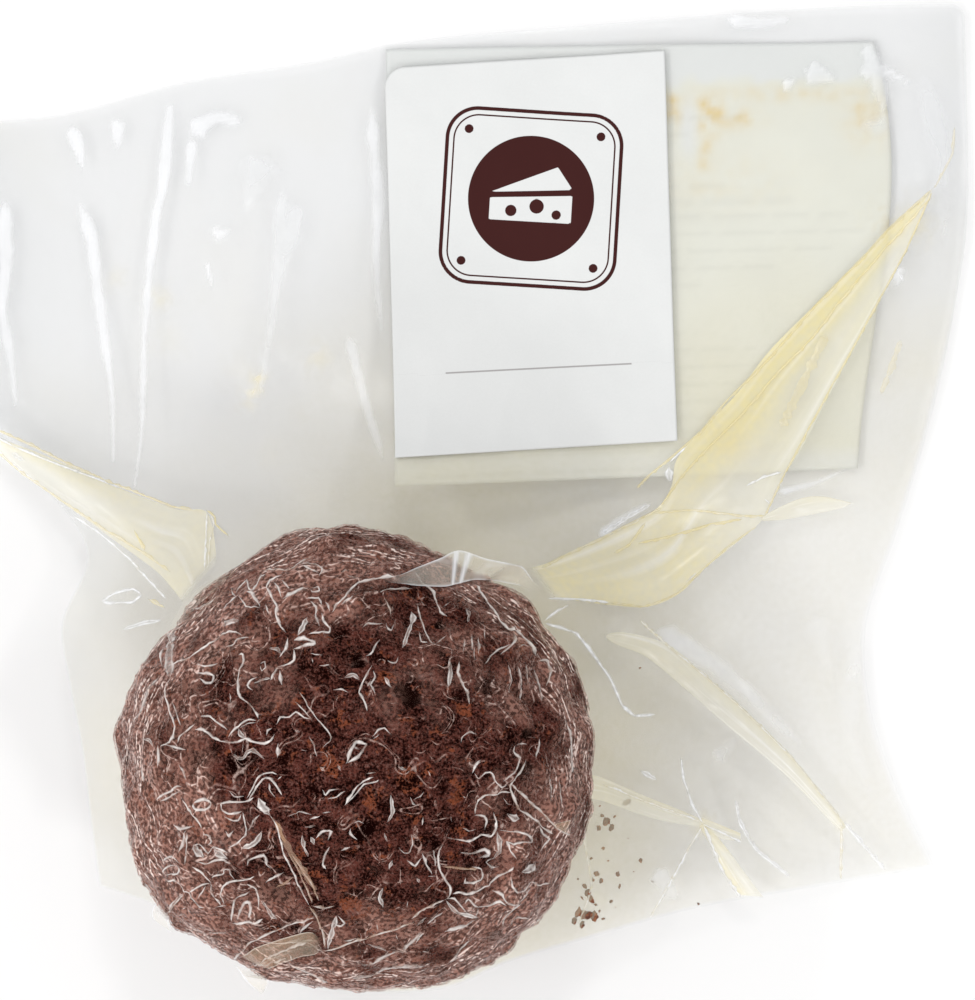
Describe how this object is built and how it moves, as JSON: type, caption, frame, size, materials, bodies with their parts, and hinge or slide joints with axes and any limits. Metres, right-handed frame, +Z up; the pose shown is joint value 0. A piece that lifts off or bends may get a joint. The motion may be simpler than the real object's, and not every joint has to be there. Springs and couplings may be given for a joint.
{
  "type": "vacuum-packed ball of cheese",
  "caption": "Ball of cheese with a dark, coarse spiced crust, vacuum-packed in a clear flat bag that lies round it, with plain labels on the bag.",
  "frame": {"origin": "middle of the small flat on which the ball rests", "axes": "+Z up from the surface it lies on, +Y from the ball towards the labels, +X along the bag's width"},
  "size_m": [0.2044, 0.1946, 0.0868],
  "materials": {
    "rind": "dark red-brown coarse spiced crust of a cheese, craggy, seen through clinging clear film that gives it sharp white glints",
    "film": "clear glossy vacuum-bag film, finely creased, milky where it lies flat and yellowish with oil in its folds",
    "white_label": null,
    "ivory_label": "white label paper yellowed by oil, seen through the film"
  },
  "bodies": {
    "root": {"cheese_ball": "rind", "vacuum_bag": "film", "front_label": "white_label", "back_label": "ivory_label"}
  },
  "joints": []
}
